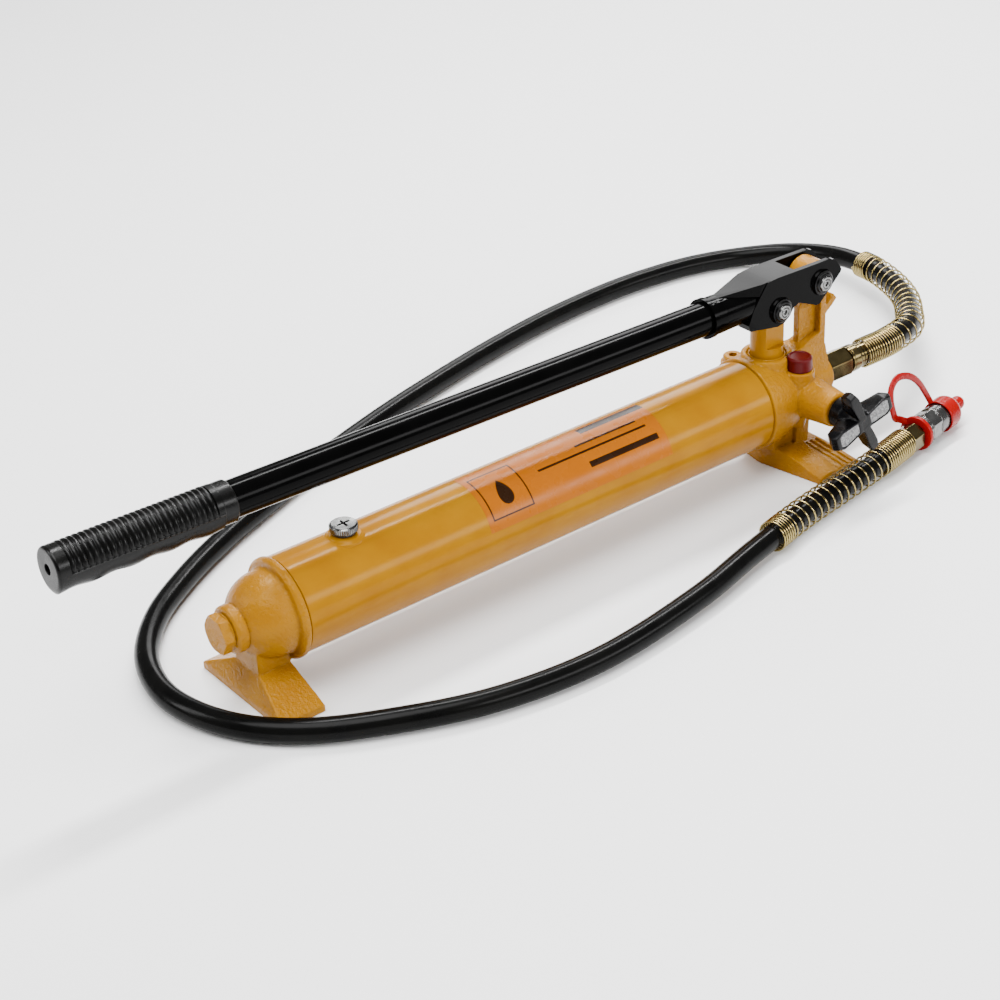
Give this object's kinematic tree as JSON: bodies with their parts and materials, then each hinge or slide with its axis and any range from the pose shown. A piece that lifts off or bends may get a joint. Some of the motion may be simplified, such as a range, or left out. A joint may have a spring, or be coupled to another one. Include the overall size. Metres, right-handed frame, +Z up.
{
  "type": "hydraulic hand pump",
  "caption": "Lever-operated hydraulic pump on a tubular oil reservoir, with release valve, high-pressure hose and capped coupler.",
  "frame": {"origin": "on the floor, in the middle of the front foot's underside", "axes": "+X from the reservoir towards the oil outlet, +Z up, and -Y the side of the release valve knob"},
  "size_m": [0.7745, 0.3923, 0.1455],
  "materials": {
    "yellow_paint": "glossy yellow enamel on a smooth tube",
    "cast_yellow_paint": "glossy yellow enamel on a grained casting",
    "black_paint": "glossy black enamel",
    "grip_rubber": "satin ribbed rubber",
    "hose_rubber": "smooth glossy thermoplastic cover",
    "seal_rubber": "matte nitrile rubber",
    "black_plastic": "satin moulded plastic with grained pads",
    "red_plastic": "soft glossy vinyl",
    "dark_red_plastic": "satin moulded plastic",
    "bright_steel": "bright machined steel",
    "dark_steel": "oiled steel",
    "yellow_zinc": "steel with a yellow zinc plating",
    "brass_mesh": "woven brass gauze",
    "copper": "soft copper sealing washer"
  },
  "bodies": {
    "base": {"reservoir_tube": "yellow_paint", "rear_cap": "cast_yellow_paint", "rear_plug": "cast_yellow_paint", "tie_rod": "dark_steel", "rear_seal": "seal_rubber", "head_seal": "seal_rubber", "filler_seal": "seal_rubber", "pump_head": "cast_yellow_paint", "suction_tube": "dark_steel", "suction_strainer": "brass_mesh", "outlet_spring": "dark_steel", "plunger_seal": "seal_rubber", "plunger_wiper": "cast_yellow_paint", "safety_cap": "dark_red_plastic", "safety_screw": "dark_steel", "safety_spring": "dark_steel", "gallery_plug": "cast_yellow_paint", "release_ball": "bright_steel", "outlet_adapter": "yellow_zinc", "outlet_washer": "copper", "outlet_ferrule": "yellow_zinc", "outlet_guard": "yellow_zinc", "hose": "hose_rubber", "coupler_ferrule": "yellow_zinc", "coupler_guard": "yellow_zinc", "coupler_nut": "yellow_zinc", "coupler_body": "bright_steel", "cap_strap": "red_plastic"},
    "lever": {"handle_bracket": "black_paint", "handle_tube": "black_paint", "handle_grip": "grip_rubber", "fulcrum_pin": "bright_steel", "fulcrum_clip_near": "dark_steel", "fulcrum_clip_far": "dark_steel", "plunger_pin": "bright_steel", "plunger_clip_near": "dark_steel", "plunger_clip_far": "dark_steel"},
    "plunger": {"plunger": "yellow_paint"},
    "release_valve": {"release_spindle": "bright_steel", "release_knob": "black_plastic"},
    "filler": {"filler_screw": "bright_steel"},
    "cap": {"dust_cap": "red_plastic"},
    "inlet_valve": {"inlet_ball": "bright_steel"},
    "outlet_valve": {"outlet_ball": "bright_steel"},
    "safety_valve": {"safety_ball": "bright_steel"}
  },
  "joints": [
    {"name": "lever_hinge", "type": "hinge", "parent": "base", "child": "lever", "pos_m": [0.0183, 0, 0.1239], "axis": [0, 1, 0], "range_deg": [0, 30]},
    {"name": "plunger_slide", "type": "slide", "parent": "base", "child": "plunger", "axis": [0, 0, 1], "range_m": [0, 0.0198]},
    {"name": "release_turn", "type": "hinge", "parent": "base", "child": "release_valve", "pos_m": [-0.003, -0.052, 0.052], "axis": [0, -1, 0], "range_deg": [0, 360]},
    {"name": "filler_turn", "type": "hinge", "parent": "base", "child": "filler", "pos_m": [-0.3556, 0, 0.082], "axis": [0, 0, 1], "range_deg": [0, 360]},
    {"name": "cap_pull", "type": "slide", "parent": "base", "child": "cap", "axis": [0.98, 0.199, 0.0083], "range_m": [0, 0.014]},
    {"name": "inlet_lift", "type": "slide", "parent": "base", "child": "inlet_valve", "axis": [0, 0, 1], "range_m": [0, 0.0025]},
    {"name": "outlet_lift", "type": "slide", "parent": "base", "child": "outlet_valve", "axis": [1, 0, 0], "range_m": [0, 0.0015], "stiffness_N_per_m": 100},
    {"name": "safety_lift", "type": "slide", "parent": "base", "child": "safety_valve", "axis": [0, 0, 1], "range_m": [0, 0.001], "stiffness_N_per_m": 100}
  ],
  "couplings": [
    {"joint": "plunger_slide", "follows": "lever_hinge", "m_per_rad": 0.03742}
  ]
}
